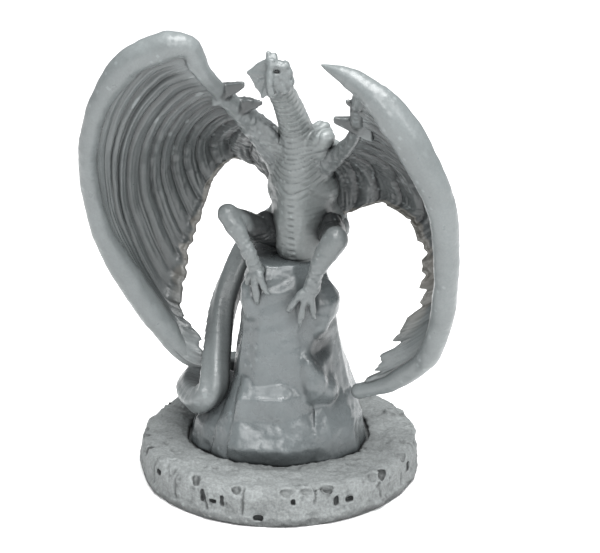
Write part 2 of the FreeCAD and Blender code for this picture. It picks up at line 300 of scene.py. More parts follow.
def joined(skins):
    """Several skins, each (points, quads), as one."""
    points, quads, count = [], [], 0
    for some, faces in skins:
        points.append(some)
        quads.append(faces + count)
        count += len(some)
    return np.vstack(points), np.vstack(quads)


def add_piece(name, points, quads, body, slot, material, **marks):
    """Makes the object that replaces one CAD node, with a value per point for each mark."""
    mesh = bpy.data.meshes.new(name)
    mesh.from_pydata((points * MM).tolist(), [], [list(face) for face in quads])
    mesh.polygons.foreach_set("use_smooth", np.ones(len(mesh.polygons), bool))
    for mark, values in marks.items():
        mesh.attributes.new(mark, "FLOAT", "POINT").data.foreach_set("value", values.astype(np.float32))
    mesh.materials.append(material)
    mesh.update()
    piece = bpy.data.objects.new(name, mesh)
    bpy.context.scene.collection.objects.link(piece)
    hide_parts(name[len("look_"):])
    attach(piece, body)


# ---------------------------------------------------------------- materials

class Paint:
    """A material's node tree, with short calls that add and join nodes."""

    def __init__(self, name):
        self.material = bpy.data.materials.new(name)
        self.material.use_nodes = True
        self.tree = self.material.node_tree
        self.shader = self.tree.nodes["Principled BSDF"]

    def feed(self, socket, value):
        """Links a socket to another node's output, or sets it to a constant."""
        if isinstance(value, bpy.types.NodeSocket):
            self.tree.links.new(value, socket)
        elif isinstance(value, (int, float)):
            socket.default_value = value
        else:
            socket.default_value = (*value[:3], 1)

    def node(self, kind, inputs=None, **settings):
        made = self.tree.nodes.new(kind)
        for key, value in settings.items():
            setattr(made, key, value)
        for key, value in (inputs or {}).items():
            self.feed(made.inputs[key], value)
        return made

    def ramp(self, value, *stops):
        made = self.node("ShaderNodeValToRGB", {"Fac": value})
        for element, (place, colour) in zip(made.color_ramp.elements, stops):
            element.position = place
            element.color = (*colour, 1)
        return made.outputs["Color"]

    def mix(self, share, first, second, blend="MIX"):
        made = self.node("ShaderNodeMix", data_type="RGBA", blend_type=blend)
        for index, value in ((0, share), (6, first), (7, second)):
            self.feed(made.inputs[index], value)
        return made.outputs[2]

    def math(self, operation, *values):
        made = self.node("ShaderNodeMath", operation=operation)
        for socket, value in zip(made.inputs, values):
            self.feed(socket, value)
        return made.outputs[0]

    def span(self, value, low, high):
        """Spreads the middle of a noise, 0.3 to 0.7, over low to high."""
        inputs = {"Value": value, "From Min": 0.3, "From Max": 0.7, "To Min": low, "To Max": high}
        return self.node("ShaderNodeMapRange", inputs).outputs["Result"]

    def bump(self, height, strength, distance):
        inputs = {"Height": height, "Strength": strength, "Distance": distance}
        return self.node("ShaderNodeBump", inputs).outputs["Normal"]

    def noise(self, scale, detail, roughness=0.55):
        place = self.node("ShaderNodeTexCoord").outputs["Object"]
        inputs = {"Vector": place, "Scale": scale, "Detail": detail, "Roughness": roughness}
        return self.node("ShaderNodeTexNoise", inputs).outputs["Fac"]

    def mark(self, name):
        return self.node("ShaderNodeAttribute", attribute_name=name).outputs["Fac"]

    def set(self, **sockets):
        for key, value in sockets.items():
            self.feed(self.shader.inputs[key.replace("_", " ")], value)


def tinted(colour, share):
    return [share * part for part in colour]


def grey(value):
    return (value, value, value)


def grey_with_painted_shade_and_highlight(paint, blotch, speck, light, deep, reach, depth, highlight_at):
    """Mottled grey, painted shade in hollows narrower than about the reach, painted highlight on sharp edges.
    """
    colour = paint.mix(1.0, blotch, speck, "MULTIPLY")
    # Painted shade: ambient occlusion and the painted shade mark darken the grey towards the deep colour.
    shade = paint.node("ShaderNodeAmbientOcclusion", {"Distance": reach}, samples=8).outputs["AO"]
    hollow = paint.math("SUBTRACT", 1.0, paint.math("POWER", shade, depth))
    hollow = paint.math("MAXIMUM", hollow, paint.mark("hollow"))
    colour = paint.mix(hollow, colour, deep)
    # Painted highlight: sharp edges are paled towards a brighter grey.
    edge = paint.node("ShaderNodeNewGeometry").outputs["Pointiness"]
    edge_highlight = paint.math("MULTIPLY", paint.ramp(edge, (0.52, grey(0)), (highlight_at, grey(1))), 0.4)
    return paint.mix(edge_highlight, colour, tinted(light, 1.7))


def plastic(name, light, deep, roughness, bump, reach=0.005):
    """Grey moulded plastic with an uneven gloss, painted shade and highlight, and painted cream light on torn
    edges.
    """
    paint = Paint(name)
    blotch = paint.ramp(paint.noise(160.0, 3.0), (0.35, tinted(light, 0.93)), (0.65, tinted(light, 1.06)))
    speck = paint.ramp(paint.noise(2600.0, 2.0), (0.3, grey(0.93)), (0.7, grey(1.05)))
    colour = grey_with_painted_shade_and_highlight(paint, blotch, speck, light, deep, reach, 1.3, 0.60)
    # Painted light: the thin torn edges get a cream tint, as light showing through them.
    colour = paint.mix(paint.math("MULTIPLY", paint.mark("edge"), 0.45), colour, TORN_EDGE_LIGHT)
    gloss = paint.span(paint.noise(420.0, 5.0), roughness - 0.07, roughness + 0.09)
    paint.set(Base_Color=colour, Roughness=gloss, Normal=paint.bump(paint.noise(1900.0, 4.0), bump, 0.0002),
              Specular_IOR_Level=0.5, IOR=1.48)
    return paint.material


def stone(name, light, deep):
    """Matt grey stone texture moulded in plastic: granular, pitted, dusty, with painted shade and highlight.
    """
    paint = Paint(name)
    blotch = paint.ramp(paint.noise(220.0, 5.0), (0.3, tinted(light, 0.86)), (0.7, tinted(light, 1.1)))
    speck = paint.ramp(paint.noise(2400.0, 3.0), (0.3, grey(0.74)), (0.68, grey(1.2)))
    colour = grey_with_painted_shade_and_highlight(paint, blotch, speck, light, deep, 0.003, 1.4, 0.62)
    grain = paint.bump(paint.noise(1700.0, 6.0, 0.7), 0.8, 0.0003)
    paint.set(Base_Color=colour, Roughness=0.62, Normal=grain, Specular_IOR_Level=0.45, IOR=1.48)
    return paint.material


# Colours: in full light, then the painted shade deep in a hollow.
# Cream of the painted light along the wings' thin torn edges.
TORN_EDGE_LIGHT = (0.21, 0.195, 0.17)
FIGURE = plastic("figure_plastic", (0.118, 0.130, 0.131), (0.012, 0.013, 0.0135), 0.34, 0.25)
# A paler, lit copy of the figure's plastic for the trunk, with a shorter reach of painted shade.
TRUNK_LIT_COPY = plastic("trunk_plastic_lit", (0.138, 0.151, 0.150), (0.018, 0.0195, 0.020), 0.38, 0.25,
                       reach=0.003)
ROCK_FINISH = plastic("rock_plastic", (0.092, 0.104, 0.107), (0.010, 0.0115, 0.012), 0.29, 0.2)
BASE_FINISH = stone("base_stone", (0.160, 0.171, 0.170), (0.018, 0.019, 0.0195))


# ---------------------------------------------------------------- base

BASE_LOW, BASE_HIGH = [np.array(corner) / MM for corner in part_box("base_disc")]
BASE_TOP = 7.0
BASE_PROFILE = [(0.0, 24.4), (1.6, 24.9), (5.4, 24.8), (BASE_TOP, 24.1)]
SEAT_FLOOR = 6.2
SEAT_GAP = 0.3
PEG_SPOTS = [(-7.0, 1.0), (7.0, -1.0)]
PEG_RADIUS = 1.6
PEG_SIDES = 14
PEG_CLEARANCE = 0.08
PEG_DEPTH = 4.0
PEG_END_GAP = 0.4
# Cracks in the base's edge: bearing, height, width, how tall.
CRACKS = [(-122, 4.3, 0.5, 1.9), (-117, 3.8, 1.1, 0.5), (-113, 4.2, 0.4, 1.7), (-98, 1.8, 1.6, 0.6),
          (-84, 4.9, 0.7, 0.9), (-66, 4.2, 0.5, 1.5), (-60, 3.9, 1.2, 0.5), (-148, 5.0, 1.0, 0.8),
          (-22, 4.4, 0.6, 1.4), (24, 3.9, 1.3, 0.6), (71, 4.6, 0.5, 1.6), (118, 4.1, 1.4, 0.5)]
# Boulders on its top: bearing, distance, size, height.
BOULDERS = [(149, 20.3, 2.6, 1.5), (133, 20.8, 2.2, 2.1), (121, 21.2, 1.7, 1.4),
            (48, 21.2, 2.3, 1.9), (78, 21.6, 1.7, 1.2), (20, 21.4, 1.6, 0.9)]
BOULDER_SIDES = 7
BOULDER_ROOT = 1.0
NOTCHES = 44
BRICK_ANGLE = 15.0


def around(bearing, distance, height=0.0):
    angle = math.radians(bearing)
    return np.array([distance * math.cos(angle), distance * math.sin(angle), height])


def peg(place, radius, low, high):
    """Corners of an upright round bar."""
    turns = np.linspace(0, 2 * math.pi, PEG_SIDES, endpoint=False)
    return [(place[0] + radius * math.cos(turn), place[1] + radius * math.sin(turn), level)
            for level in (low, high) for turn in turns]


def add_rubble(clay):
    """Boulders on the base's top, and notches broken out of its rim."""
    dice = np.random.default_rng(3)
    for bearing, distance, size, height in BOULDERS:
        middle = around(bearing, distance)
        corners = []
        for rise, share in ((-BOULDER_ROOT, 1.0), (0.4 * height, 0.95), (height, 0.55)):
            for k in range(BOULDER_SIDES):
                reach = size * share * dice.uniform(0.8, 1.0)
                turn = 360 * k / BOULDER_SIDES + dice.uniform(-15, 15)
                corners.append(middle + around(turn, reach, BASE_TOP + rise))
        clay.chunk(corners, soften=0.25, blend=0.3)
    for _ in range(NOTCHES):
        spot = around(dice.uniform(0, 360), dice.uniform(23.6, 25.2), dice.uniform(5.8, 7.6))
        clay.ball(spot, dice.uniform(0.5, 1.3, 3), blend=0.25, cut=True)


def cut_seat(clay, seat_outline):
    """The shallow seat for the rock's foot, and the holes for its pegs."""
    seat = [(x, y, level) for x, y in seat_outline for level in (SEAT_FLOOR, BASE_TOP + 2)]
    clay.chunk(seat, cut=True)
    for spot in PEG_SPOTS:
        hole = peg(spot, PEG_RADIUS + PEG_CLEARANCE, SEAT_FLOOR - PEG_DEPTH, BASE_TOP + 1)
        clay.chunk(hole, cut=True)


def cut_cracks(clay):
    """The short upright and level slots in the base's edge."""
    for bearing, height, width, tall in CRACKS:
        out, across = around(bearing, 1.0), around(bearing + 90, 1.0)
        corners = [out * reach + across * width * lean + np.array([0, 0, height + tall * rise])
                   for reach in (23.8, 26.0) for lean in (-0.5, 0.5) for rise in (-0.5, 0.5)]
        clay.chunk(corners, blend=0.15, cut=True)


def make_base(seat_outline):
    clay = Clay(BASE_LOW - 1, BASE_HIGH + 1, 0.25)
    _, (x, y, z) = clay.window(BASE_LOW - 1, BASE_HIGH + 1)
    wall = np.hypot(x, y) - np.interp(z, *zip(*BASE_PROFILE))
    clay.field = np.maximum(np.maximum(wall, z - BASE_TOP), -z).astype(np.float32)
    add_rubble(clay)
    cut_seat(clay, seat_outline)
    cut_cracks(clay)
    points, quads = clay.surface()
    normals = vertex_normals(points, quads)
    radius, height = np.hypot(points[:, 0], points[:, 1]), points[:, 2]
    weathered = (height > 0.4) & ((height > SEAT_FLOOR + 0.2) | (radius > 22.0))
    lumps = 0.36 * rough(points, 3.0, 3, 21) + 0.10 * noise(points, 0.55, 25)
    pit = smoothstep(0.36, 0.10, cell_distance(points + 0.3 * noise(points, 1.0, 5)[:, None], 1.7, 9))
    pit *= smoothstep(-0.2, 0.4, noise(points, 4.0, 33))
    course = smoothstep(1.9, 2.4, height + 0.3 * noise(points, 2.0, 14)) * smoothstep(23.0, 23.8, radius)
    bearing = np.degrees(np.arctan2(points[:, 1], points[:, 0]))
    bricks = bearing / BRICK_ANGLE + 0.25 * noise(points, 7.0, 17)
    joint = smoothstep(0.045, 0.015, np.abs(bricks - np.round(bricks))) * course
    joint *= smoothstep(-0.1, 0.3, noise(points, 3.0, 19))
    depth = lumps - 0.32 * pit - 0.22 * course - 0.4 * joint
    points = points + normals * (weathered * depth)[:, None]
    points[:, 2] = np.clip(points[:, 2], BASE_LOW[2], BASE_HIGH[2])
    # Painted shade in the pits and in the joints round the base's side.
    hollow = weathered * np.clip(0.45 * pit + 0.6 * joint, 0, 1)
    add_piece("look_base_disc", points, quads, "base", "base_plastic", BASE_FINISH, hollow=hollow)


# ---------------------------------------------------------------- rock

ROCK_LOW, ROCK_HIGH = [np.array(corner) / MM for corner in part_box("rock")]
ROCK_FOOT = 6.4
SLICE_LAP = 0.5
# Each lobe of rock is a stack of outlines, from the foot up: height, then corners (x, y).
PILLAR = [(17.0, [(-8.2, -2), (-7.2, -7.4), (-4.4, -10.6), (3.6, -10.8), (9.0, -8.6), (12.6, -2.6),
                  (12.2, 5), (6, 11), (-2, 11.4), (-7.6, 6)]),
          (27.0, [(-6.9, -1.6), (-6.5, -6.2), (-3.6, -9.5), (3.0, -9.7), (7.4, -7.6), (10.4, -2.2),
                  (10.2, 4.6), (5.6, 9.4), (-1.6, 9.8), (-6.2, 5.4)]),
          (37.0, [(-6.0, -1.2), (-5.6, -5.6), (-2.8, -8.6), (3.2, -8.8), (6.6, -6.8), (8.8, -2),
                  (8.4, 4.2), (4.8, 8.2), (-1, 8.3), (-5.2, 4.8)]),
          (40.8, [(-4.9, -1.0), (-4.4, -4.6), (-2.1, -7.1), (2.8, -7.3), (5.4, -5.4), (7.4, -1.6),
                  (7.0, 3.4), (3.8, 6.9), (-0.6, 7.1), (-4.1, 4)])]
LOBES = [
    # The tall front of the foot, in bands that lean and stand by turns.
    [(6.4, [(-9.0, -11.8), (-7.2, -13.0), (1.0, -14.1), (1.0, 0), (-9, 0)]),
     (9.6, [(-8.9, -12.4), (-7.4, -13.6), (1.0, -14.7), (1.0, 0), (-8.6, 0)]),
     (14.2, [(-7.8, -10.6), (-6.9, -11.7), (1.0, -12.7), (1.0, 0), (-7.6, 0)]),
     (18.0, [(-7.2, -10.3), (-6.7, -11.4), (0.8, -12.4), (1.0, 0), (-7, 0)]),
     (20.8, [(-6.4, -8.2), (-6.0, -9.2), (1.0, -10.0), (1.0, 0), (-6.4, 0)])],
    # Between the front edge and the right-hand lobes.
    [(6.4, [(1.0, -14.1), (4.6, -13.3), (7.4, -11.8), (8, 0), (-2, 0)]),
     (9.6, [(1.0, -14.7), (4.4, -13.8), (7.4, -12.2), (8, 0), (-2, 0)]),
     (14.8, [(1.0, -12.5), (3.7, -11.6), (6.2, -10.0), (7, 0), (-2, 0)]),
     (18.2, [(0.8, -12.3), (3.7, -10.9), (5.8, -9.2), (6, 0), (-2, 0)]),
     (20.6, [(0.8, -10.0), (3.7, -9.8), (5.2, -8.6), (6, 0), (-2, 0)])],
    # Low lobes, from the viewer's left round the front to the right and the back.
    [(6.4, [(-15.9, -3.2), (-14.2, -6.8), (-11.0, -9.2), (-8.0, -8), (-8.0, 0), (-13.8, 4.4)]),
     (10.8, [(-14.9, -3.0), (-13.2, -6.0), (-10.6, -8.2), (-8, -8), (-8, 0), (-13.2, 4)]),
     (15.4, [(-11.8, -2.6), (-10.9, -5.0), (-9.2, -6.4), (-7, -6), (-7, 0), (-10.8, 2.8)]),
     (17.8, [(-9.4, -2.2), (-9.0, -4.2), (-8.0, -5.4), (-7, -5), (-7, 0), (-9.0, 2)])],
    [(6.4, [(-12.0, -9.0), (-9.6, -11.9), (-6, -12), (-6, 0), (-11, -2)]),
     (11.6, [(-10.8, -8.2), (-8.9, -10.9), (-6, -11), (-6, 0), (-9.6, -2)]),
     (16.0, [(-9.2, -6.8), (-7.9, -9.2), (-6, -9), (-6, 0), (-8, -2)]),
     (20.0, [(-7.4, -5.4), (-6.9, -7.6), (-5, -8), (-6, 0), (-7, -2)])],
    [(6.4, [(6.8, -12.4), (9.8, -11.8), (12.0, -9.8), (9, 0), (5, -6)]),
     (11.4, [(6.4, -12.2), (9.2, -11.0), (11.2, -8.8), (9, 0), (5, -6)]),
     (15.2, [(6.2, -10.6), (8.2, -9.6), (10.0, -7.6), (9, 0), (5, -6)]),
     (18.6, [(5.8, -9.4), (7.0, -8.4), (8.6, -6.8), (8, 0), (5, -6)])],
    [(6.4, [(11.0, -10.6), (14.0, -8.2), (15.7, -2.2), (13.6, 3.4), (8, 0)]),
     (11.6, [(10.4, -9.6), (13.2, -7.2), (14.8, -2.0), (13.2, 3.2), (8, 0)]),
     (15.6, [(9.2, -8.0), (11.6, -5.8), (13.0, -1.4), (12, 2.8), (8, 0)]),
     (19.6, [(8.4, -6.4), (10.4, -4.2), (11.4, -1.0), (11, 2.4), (8, 0)])],
    [(6.4, [(14.4, -0.6), (15.4, 5), (12.6, 10.4), (6, 6)]),
     (12.6, [(13.2, 0), (14.2, 5), (11.6, 9.4), (6, 6)]),
     (19.4, [(11.4, 1), (12, 4.8), (9.8, 8), (6, 5)])],
    [(6.4, [(12.8, 9.6), (7.4, 14.8), (0.6, 15.3), (2, 4), (9, 4)]),
     (12.0, [(11.6, 8.8), (6.8, 13.6), (1, 14.1), (2, 4), (9, 4)]),
     (18.0, [(9.4, 7.6), (5.6, 11.8), (1.4, 12), (2, 4), (9, 4)])],
    [(6.4, [(2.4, 15.3), (-5.4, 15.1), (-10.8, 11.2), (-6, 3), (2, 3)]),
     (10.8, [(2, 14.5), (-5, 14.2), (-10, 10.6), (-6, 3), (2, 3)]),
     (15.6, [(1.2, 12.6), (-4.4, 12.3), (-8.2, 9.2), (-6, 3), (2, 3)])],
    [(6.4, [(-9.8, 12.0), (-14.4, 7.8), (-15.8, 1.8), (-7, 1), (-5, 8)]),
     (9.8, [(-9.4, 11.2), (-13.8, 7.4), (-15, 2), (-7, 1), (-5, 8)]),
     (13.4, [(-7.8, 9.6), (-11.4, 6.2), (-12, 2), (-6, 1), (-5, 8)])]]
# Centre and radii of rounded knobs, the outcrop at the right of the pillar's front first.
KNOBS = [((6.2, -9.4, 20.6), (2.3, 2.2, 3.6)), ((5.4, -9.6, 24.0), (1.5, 1.4, 2.0)),
         ((8.0, -7.6, 18.6), (2.4, 2.2, 2.6)), ((7.4, -4.8, 34.0), (3.4, 4.2, 3.8)),
         ((6.6, -6.6, 30.6), (2.0, 2.2, 2.2)), ((-4.6, -6.4, 35.2), (2.0, 2.6, 4.0))]
# Centre and radii of the recess at the right of the pillar's front, also darkened with painted shade.
HOLLOWS = [((9.4, -9.6, 26.2), (3.4, 4.0, 3.0)), ((5.4, -10.8, 28.4), (2.0, 1.6, 2.6)),
           ((10.8, -8.4, 22.8), (2.2, 2.6, 2.2))]


def stack(clay, outlines):
    """Adds a stack of outlines, one convex slice between each two, so that its steps stay."""
    for (low, lower), (high, upper) in zip(outlines, outlines[1:]):
        middle = np.mean(upper, axis=0)
        lid = middle + 0.96 * (np.array(upper) - middle)
        corners = [(x, y, low) for x, y in lower] + [(x, y, high) for x, y in upper]
        clay.chunk(corners + [(x, y, high + SLICE_LAP) for x, y in lid])


def make_rock():
    clay = Clay(ROCK_LOW - 1, ROCK_HIGH + 1, 0.25)
    for outlines in [PILLAR] + LOBES:
        stack(clay, outlines)
    for centre, radii in KNOBS:
        clay.ball(centre, radii, blend=1.2)
    for centre, radii in HOLLOWS:
        clay.ball(centre, radii, blend=1.4, cut=True)
    clay.below(ROCK_FOOT)
    foot = SEAT_FLOOR - PEG_DEPTH + PEG_END_GAP
    for spot in PEG_SPOTS:
        clay.chunk(peg(spot, PEG_RADIUS, foot, ROCK_FOOT + 1))
    points, quads = clay.surface()
    points = relaxed(points, quads, 3)
    normals = vertex_normals(points, quads)
    height = points[:, 2]
    outside = smoothstep(ROCK_FOOT + 0.1, ROCK_FOOT + 1.0, height)
    drape = np.sin(1.9 * height - 0.9 * points[:, 0] + 2.0 * noise(points, 5.0, 47))
    drape *= smoothstep(24.0, 32.0, height) * 0.07
    swell = 0.20 * rough(points, 5.0, 3, 41) + 0.05 * rough(points, 1.3, 2, 43) + drape
    # Painted shade in the recess at the right of the pillar's front.
    shade = 0 * height
    for centre, radii in HOLLOWS:
        reach = np.linalg.norm((points - centre) / radii, axis=1)
        shade = np.maximum(shade, 0.9 * smoothstep(1.5, 0.9, reach))
    points = points + normals * (outside * swell)[:, None]
    add_piece("look_rock", points, quads, "figure", "figure_plastic", ROCK_FINISH, hollow=shade)


# ---------------------------------------------------------------- tail

# Rows of x, y, z and radius, from the rump down round the back of the rock and to the tip.
TAIL = [(5.2, 4.4, 46.5, 3.6), (2.0, 9.8, 44.4, 3.2), (-4.8, 11.8, 38.0, 2.8), (-9.4, 6.6, 30.0, 2.4),
        (-10.8, -0.8, 22.6, 2.4), (-11.6, -5.2, 17.6, 2.6), (-14.2, -4.0, 14.8, 2.4), (-16.0, 4.0, 14.2, 2.2),
        (-13.2, 13.0, 13.8, 2.0), (-5.0, 17.4, 13.0, 1.7), (3.6, 17.8, 12.2, 1.3), (10.8, 15.8, 11.4, 0.7)]


TAIL_MIDDLE = (0.0, 3.0, 30.0)


def make_tail():
    """A tube with a low ridge of scutes along its outer side and shallow creases across it."""
    rows, columns, plate = 420, 56, 1.7
    line = curve(TAIL, rows)
    centres, radii = line[:, :3], line[:, 3]
    along = unit(np.gradient(centres, axis=0))
    outward = centres - TAIL_MIDDLE
    outward[:, 2] = 0.0
    outward = unit(outward - along * (outward * along).sum(1, keepdims=True))
    other = np.cross(along, outward)
    angle = np.linspace(0, 2 * math.pi, columns, endpoint=False)
    run = np.linspace(0, 1, rows)[:, None]
    length = np.linalg.norm(np.diff(centres, axis=0), axis=1).sum()
    plates = (run * length / plate) % 1.0
    ridge = np.exp(-(((angle + math.pi) % (2 * math.pi) - math.pi) / 0.30) ** 2)[None, :]
    scute = 0.16 * ridge * (0.4 + plates)
    lengthwise = 0.06 * np.cos(5 * angle)[None, :]
    crease = -0.05 * np.exp(-((plates - 0.5) / 0.08) ** 2) * (1 - ridge)
    reach = radii[:, None] * (1 + lengthwise * 0.8) + (scute + crease) * np.minimum(radii[:, None] / 2.0, 1.0)
    ends = np.sqrt(np.clip(1 - ((np.linspace(0, 1, rows) - 0.985) / 0.015).clip(0, 1) ** 2, 0.0, 1))
    reach = reach * ends[:, None]
    points = (centres[:, None] + reach[..., None] * (np.cos(angle)[None, :, None] * outward[:, None]
                                                     + np.sin(angle)[None, :, None] * other[:, None]))
    quads = grid_quads(rows, columns, closed=True)
    k = np.arange(columns)
    after = (k + 1) % columns
    points = np.vstack([points.reshape(-1, 3), centres[:1], centres[-1:]])
    top, tip = rows * columns, rows * columns + 1
    fans = [np.stack([np.full(columns, top), after, k], axis=1),
            np.stack([np.full(columns, tip), k + (rows - 1) * columns, after + (rows - 1) * columns], axis=1)]
    faces = quads.tolist() + np.vstack(fans).tolist()
    add_piece("look_tail", points, faces, "figure", "figure_plastic", FIGURE)


# ---------------------------------------------------------------- trunk and neck

TRUNK = [(0, -1.6, 39.8, 2.2), (0, -0.6, 42.5, 3.9), (0, 0.4, 47.0, 5.0), (0, 1.4, 52.0, 5.6),
         (0, 1.8, 57.0, 5.2), (0, 1.6, 60.5, 3.6)]
NECK = [(0.4, -2.2, 54.4, 2.9), (0.5, -2.2, 57.4, 3.9), (0.5, -2.4, 61.0, 3.7), (0.3, -3.8, 65.2, 2.8),
        (0.1, -6.8, 69.8, 2.4), (-0.1, -9.2, 72.8, 2.2), (-0.1, -11.6, 75.6, 2.1), (0, -12.8, 77.0, 2.0)]
NECK_PLATE = 1.25
RUNG = 1.2
# Swellings on both sides of the trunk, each rows and a blend: arm root, collar, flank and hip.
SIDES = [([(1.8, -0.6, 57.0, 3.2), (5.2, -1.4, 60.6, 2.6)], 2.0),
         ([(2.2, -2.8, 61.4, 2.4), (5.8, -4.6, 64.0, 1.7)], 2.2),
         ([(3.0, 0.6, 53.0, 3.0), (1.6, -1.6, 56.5, 2.6)], 1.6),
         ([(3.4, 3.6, 47, 3.8), (4.8, 2.6, 45.6, 3.0)], 1.6)]
HUMP = [(2.0, 4.4, 57.0, 2.8), (2.0, 4.6, 62.0, 1.9)]
BELLY = [(0.0, -2.6, 54.0, 3.3), (-0.1, -2.5, 48, 3.5), (-0.1, -2.0, 43.6, 3.2), (0, -1.6, 41.2, 2.2)]


def chest_strands(points, x, height):
    """Sinews that fan out from the neck's root, and ring the middle of the chest; -0.6 to 0.4."""
    centre = np.hypot(x - 0.3, 0.9 * (height - 60.0))
    bearing = np.arctan2(height - 60.0, np.abs(x) + 0.01)
    rays = np.abs(np.sin(9.0 * bearing + 1.4 * noise(points, 3.0, 3)))
    rings = np.abs(np.sin(math.pi * centre / 1.3 + 1.4 * noise(points, 3.5, 6)))
    lower = smoothstep(4.0, 2.0, np.abs(x)) * smoothstep(58.0, 54.0, height)
    return (1 - lower) * rays ** 0.6 + lower * rings ** 0.6 - 0.6


def make_trunk():
    clay = Clay((-9.5, -17.5, 37.0), (9.5, 10.5, 80.5), 0.17)
    clay.tube(curve(TRUNK, 40))
    for side in (-1, 1):
        for rows, blend in SIDES:
            clay.tube(np.array(rows) * [side, 1, 1, 1], blend)
    clay.tube(HUMP, blend=0.9)
    clay.tube(BELLY, blend=1.8)
    clay.tube(curve(NECK, 40), blend=0.6)
    points, quads = clay.surface()
    normals = vertex_normals(points, quads)
    along, offset = nearest_along(points, curve(NECK, 60)[:, :3])
    x, y, height = points.T
    on_neck = smoothstep(5.0, 4.2, np.linalg.norm(offset, axis=1)) * smoothstep(54.0, 56.0, height)
    front = smoothstep(-0.2, 0.3, -unit(offset)[:, 1] * 0.8 - unit(offset)[:, 2] * 0.6)
    curl = along - 0.12 * x ** 2 * smoothstep(66.0, 58.0, height)
    phase = (curl / NECK_PLATE) % 1.0
    groove = on_neck * front * smoothstep(0.2, 0.0, np.minimum(phase, 1 - phase))
    plate = on_neck * front * 0.16 * (phase - 0.5)
    scales = on_neck * (1 - front) * 0.2 * (0.5 - cell_distance(points, 1.1, 4))
    column = smoothstep(-2.0, -4.0, y) * smoothstep(55.5, 54.5, height) * smoothstep(41.0, 42.0, height)
    column *= smoothstep(54.0, 51.5, height)
    rungs = smoothstep(0.28, 0.42, np.abs((height / RUNG) % 1.0 - 0.5))
    rungs *= column * np.exp(-((x - 0.1) / 0.6) ** 4)
    strands = (1 - on_neck) * (1 - column) * chest_strands(points, x, height)
    grit = 0.07 * rough(points, 1.4, 2, 52) + 0.05 * noise(points * [0.5, 0.5, 2.0], 0.7, 55)
    depth = plate - 0.06 * groove - 0.2 * rungs + 0.30 * strands + scales + grit
    points = points + normals * depth[:, None]
    # Painted shade in the neck's grooves, the belly's rungs and between the chest's sinews.
    dark = (1 - on_neck) * (1 - column) * smoothstep(-0.2, -0.6, strands)
    hollow = np.clip(0.10 * groove + 0.32 * rungs + 0.35 * dark, 0, 1)
    add_piece("look_trunk", seated(points), quads, "figure", "figure_plastic", TRUNK_LIT_COPY, hollow=hollow)


# ---------------------------------------------------------------- head

# The head's blunt front as x, z, and the frill at the viewer's left as x, y, z.
HEAD_BLOCK = [(-1.0, 80.2), (0.9, 80.2), (2.0, 79.5), (2.4, 78.0), (2.8, 76.5), (2.0, 75.2), (0.4, 74.7),
              (-1.0, 74.6)]
HEAD_FAN = [(-0.9, -15.3, 80.1), (-2.1, -14.9, 80.2), (-3.8, -14.0, 78.9), (-4.9, -13.3, 77.6),
            (-3.6, -13.7, 75.4), (-2.5, -14.2, 73.7), (-0.9, -15.1, 74.6)]


# Ridges on the head, rows of x, y, z and radius with their blend: brow ridge down the middle, throat,
# two knobs on top, and the lid over the eye.
HEAD_RIDGES = [([(-0.9, -15.3, 80.0, 0.5), (-1.1, -15.8, 78.4, 0.6), (-1.1, -16.0, 76.8, 0.7),
                 (-0.9, -15.7, 75.3, 0.7)], 1.0),
               ([(-0.6, -15.2, 75.0, 0.9), (-0.2, -13.4, 74.3, 1.1)], 0.6),
               ([(-1.1, -14.8, 79.9, 0.8), (-1.4, -14.4, 81.2, 0.45)], 0.4),
               ([(-0.6, -14.7, 80.0, 0.7), (-0.4, -14.3, 80.9, 0.5)], 0.4),
               ([(-0.8, -15.6, 79.4, 0.4), (1.0, -15.6, 79.2, 0.45), (1.9, -15.0, 78.4, 0.4)], 0.6)]
HEAD_CREASES = [[(-0.3, -16.6, 77.6, 0.22), (-0.35, -16.4, 76.3, 0.2), (-0.3, -16.0, 75.0, 0.18)],
                [(0.5, -16.4, 77.6, 0.18), (1.2, -16.2, 76.6, 0.16)]]
CHEEK = ((0.7, -14.6, 77.2), (1.7, 1.5, 2.4))
EYE = ((0.0, -16.1, 78.5), (0.55, 0.8, 0.34))


def make_head():
    """Drawn in the row frame, because the head looks straight out while the body is turned."""
    clay = Clay((-6.5, -19.0, 70.5), (4.5, -8.0, 83.5), 0.12)
    clay.tube([(-0.2, -10.6, 74.4, 2.1), (-0.2, -12.8, 76.6, 2.4)])
    front = [(x, -15.4, z) for x, z in HEAD_BLOCK]
    behind = [(0.8 * x, -11.6, 77.4 + 0.75 * (z - 77.4)) for x, z in HEAD_BLOCK]
    clay.chunk(front + behind, soften=0.4, blend=0.5)
    clay.chunk([(x, y + thick, z) for x, y, z in HEAD_FAN for thick in (0, 1.1)], soften=0.2, blend=0.25)
    for x, y, z in HEAD_FAN[3:6]:
        clay.tube([(-1.2, -15.3, 77.8, 0.24), (0.96 * x, y + 0.1, z, 0.12)], blend=0.6)
    clay.ball(*CHEEK, blend=0.6)
    for rows, blend in HEAD_RIDGES:
        clay.tube(rows, blend)
    for x, z in HEAD_BLOCK[2:6]:
        clay.ball((x - 0.5, -14.8, z), (0.6, 1.0, 0.65), blend=0.6)
    clay.ball(*EYE, blend=0.25, cut=True)
    for rows in HEAD_CREASES:
        clay.tube(rows, blend=0.25, cut=True)
    points, quads = clay.surface()
    points = relaxed(points, quads, 1)
    normals = vertex_normals(points, quads)
    pebbles = cell_distance(points, 0.8, 12)
    right = smoothstep(-1.6, -0.2, points[:, 0])
    depth = 0.16 * (0.45 - pebbles) * right + 0.08 * rough(points, 1.3, 2, 15)
    points = points + normals * depth[:, None]
    # Painted shade in the gaps between the pebbles on the head's pebbled side.
    hollow = 0.3 * right * smoothstep(0.55, 0.8, pebbles)
    add_piece("look_head", points, quads, "figure", "figure_plastic", FIGURE, hollow=hollow)


# ---------------------------------------------------------------- legs

